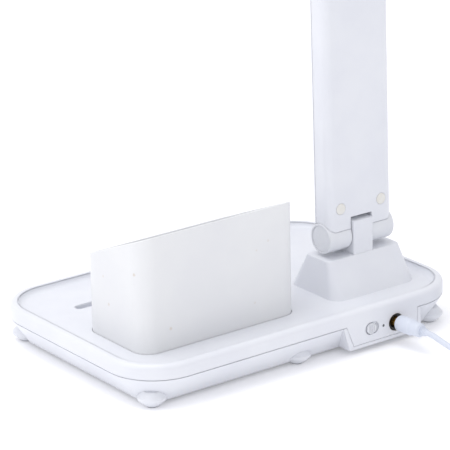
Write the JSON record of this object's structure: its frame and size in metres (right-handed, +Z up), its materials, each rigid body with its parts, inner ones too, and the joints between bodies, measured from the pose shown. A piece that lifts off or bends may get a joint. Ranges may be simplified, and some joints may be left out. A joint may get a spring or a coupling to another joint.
{
  "type": "desk lamp with organizer base",
  "caption": "Folding rechargeable LED desk lamp whose wide tray base carries a lift-out pen box, a phone slot and a power socket.",
  "frame": {"origin": "on the table, under the middle of the base", "axes": "+X along the long side of the base towards the hinge, +Y away from the port side and along the head, +Z up"},
  "size_m": [0.239, 0.3447, 0.3526],
  "materials": {
    "white_shell": "fine satin moulding",
    "foot_rubber": "matte",
    "ivory_cover": "satin",
    "galvanised_steel": "zinc plated",
    "plated_screw": "zinc plated",
    "friction_plastic": "matte",
    "battery_foil": "laminated foil",
    "foam": "closed-cell foam",
    "circuit_board": "solder mask",
    "dark_component": "matte",
    "light_pipe": "clear moulding",
    "contact_brass": "polished",
    "wire_sleeve": "smooth",
    "bar_aluminium": "rolled",
    "milky_diffuser": "milky acrylic",
    "white_ring": "matte",
    "led_board": "white solder mask",
    "led_chip": "phosphor",
    "lead_sleeve": "satin",
    "tie_strap": "matte",
    "usb_steel": "plated"
  },
  "bodies": {
    "base": {"base_top_shell": "white_shell", "base_bottom_shell": "white_shell", "foot_pads": "foot_rubber", "ballast_plate": "galvanised_steel", "battery_pack": "battery_foil", "battery_pads": "foam", "control_board": "circuit_board", "board_parts": "dark_component", "board_screws": "plated_screw", "base_screws": "plated_screw", "switch_body": "dark_component", "charge_light": "light_pipe", "power_socket": "dark_component", "socket_pin": "contact_brass", "base_wires": "wire_sleeve", "base_bush": "plated_screw", "plug_barrel": "contact_brass", "plug_body": "lead_sleeve", "lead": "lead_sleeve", "lead_coil": "lead_sleeve", "coil_tie": "tie_strap", "usb_plug_body": "lead_sleeve", "usb_plug_shell": "usb_steel"},
    "switch": {"switch_knob": "white_shell"},
    "pen_box": {"pen_box": "white_shell"},
    "arm": {"lower_fork": "white_shell", "upper_fork": "white_shell", "hinge_pins": "plated_screw", "hinge_nuts": "plated_screw", "hinge_springs": "plated_screw", "friction_washers": "friction_plastic", "hinge_caps": "white_shell", "arm_rear_shell": "white_shell", "arm_front_shell": "white_shell", "arm_screws": "plated_screw", "screw_covers": "ivory_cover", "arm_stiffener": "bar_aluminium", "fork_screws": "plated_screw", "arm_wire": "wire_sleeve"},
    "head": {"head_tongue": "white_shell", "head_bush": "plated_screw", "head_bezel": "white_shell", "head_cover": "white_shell", "head_screws": "plated_screw", "diffuser": "milky_diffuser", "light_ring": "white_ring", "led_board": "led_board", "leds": "led_chip", "heat_spreader": "bar_aluminium", "head_wire": "wire_sleeve"}
  },
  "joints": [
    {"name": "arm_tilt", "type": "hinge", "parent": "base", "child": "arm", "pos_m": [0.0623, -0.0287, 0.0501], "axis": [-1, 0, 0], "range_deg": [-10, 88.5]},
    {"name": "head_tilt", "type": "hinge", "parent": "arm", "child": "head", "pos_m": [0.0623, -0.02235, 0.33003], "axis": [-1, 0, 0], "range_deg": [-90, 90]},
    {"name": "switch_slide", "type": "slide", "parent": "base", "child": "switch", "axis": [1, 0, 0], "range_m": [0, 0.0021]},
    {"name": "pen_box_lift", "type": "slide", "parent": "base", "child": "pen_box", "axis": [0, 0, 1], "range_m": [0, 0.1]}
  ]
}
